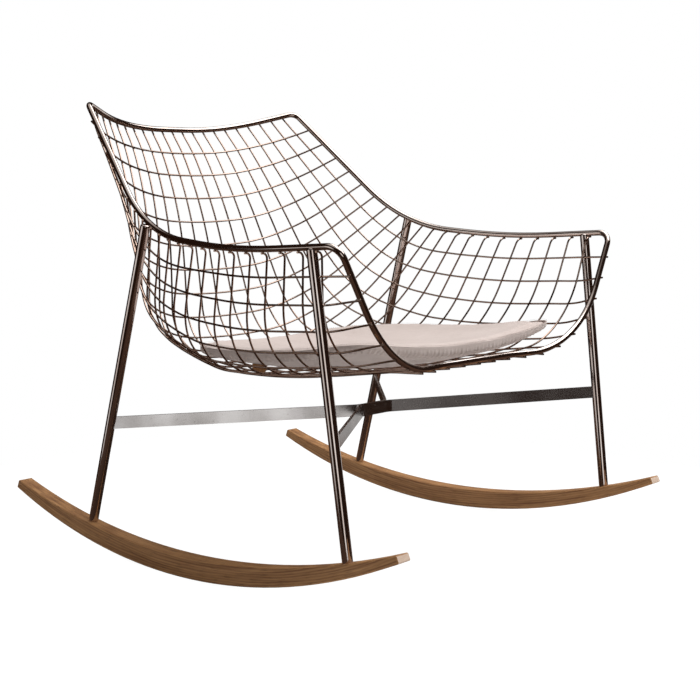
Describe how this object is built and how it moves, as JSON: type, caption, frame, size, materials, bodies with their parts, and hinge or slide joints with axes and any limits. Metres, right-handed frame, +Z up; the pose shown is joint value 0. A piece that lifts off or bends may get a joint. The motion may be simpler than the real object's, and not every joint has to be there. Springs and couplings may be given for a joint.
{
  "type": "rocking chair",
  "caption": "Rocking chair: a bucket shell of welded metal wires on tube legs, curved wooden runners and a loose dished seat pad.",
  "frame": {"origin": "on the floor, below the middle of the chair's width and depth, with the chair at rest on the lowest line of its runners", "axes": "+Z up; the sitter faces -Y; +X is the sitter's left; the chair is the same on both sides of X = 0"},
  "size_m": [0.7188, 0.8808, 0.7563],
  "materials": {
    "polished_metal": "polished, dark nickel tone",
    "runner_wood": "oiled, satin",
    "fixing_steel": "plain",
    "pad_fabric": "woven, matt",
    "tab_leather": "smooth"
  },
  "bodies": {
    "chair": {"rim_loop": "polished_metal", "cross_wire_01": "polished_metal", "cross_wire_02": "polished_metal", "cross_wire_03": "polished_metal", "cross_wire_04": "polished_metal", "cross_wire_05": "polished_metal", "cross_wire_06": "polished_metal", "cross_wire_07": "polished_metal", "cross_wire_08": "polished_metal", "cross_wire_09": "polished_metal", "cross_wire_10": "polished_metal", "cross_wire_11": "polished_metal", "cross_wire_12": "polished_metal", "cross_wire_13": "polished_metal", "cross_wire_14": "polished_metal", "cross_wire_15": "polished_metal", "cross_wire_16": "polished_metal", "cross_wire_17": "polished_metal", "cross_wire_18": "polished_metal", "cross_wire_19": "polished_metal", "cross_wire_20": "polished_metal", "cross_wire_21": "polished_metal", "lengthwise_wire_middle": "polished_metal", "lengthwise_wires_01": "polished_metal", "lengthwise_wires_02": "polished_metal", "lengthwise_wires_03": "polished_metal", "lengthwise_wires_04": "polished_metal", "lengthwise_wires_05": "polished_metal", "lengthwise_wires_06": "polished_metal", "lengthwise_wires_07": "polished_metal", "lengthwise_wires_08": "polished_metal", "lengthwise_wires_09": "polished_metal", "lengthwise_wires_10": "polished_metal", "leg_rear_left": "polished_metal", "leg_rear_right": "polished_metal", "leg_front_left": "polished_metal", "leg_front_right": "polished_metal", "stretcher_bar_rear": "polished_metal", "stretcher_bar_front": "polished_metal", "runner_left": "runner_wood", "runner_right": "runner_wood", "leg_foot_plugs": "fixing_steel", "runner_bolts": "fixing_steel"},
    "pad": {"seat_pad": "pad_fabric", "pad_tab": "tab_leather"}
  },
  "joints": [
    {"name": "pad_lift", "type": "slide", "parent": "chair", "child": "pad", "axis": [0, 0, 1], "range_m": [0, 0.3]}
  ]
}
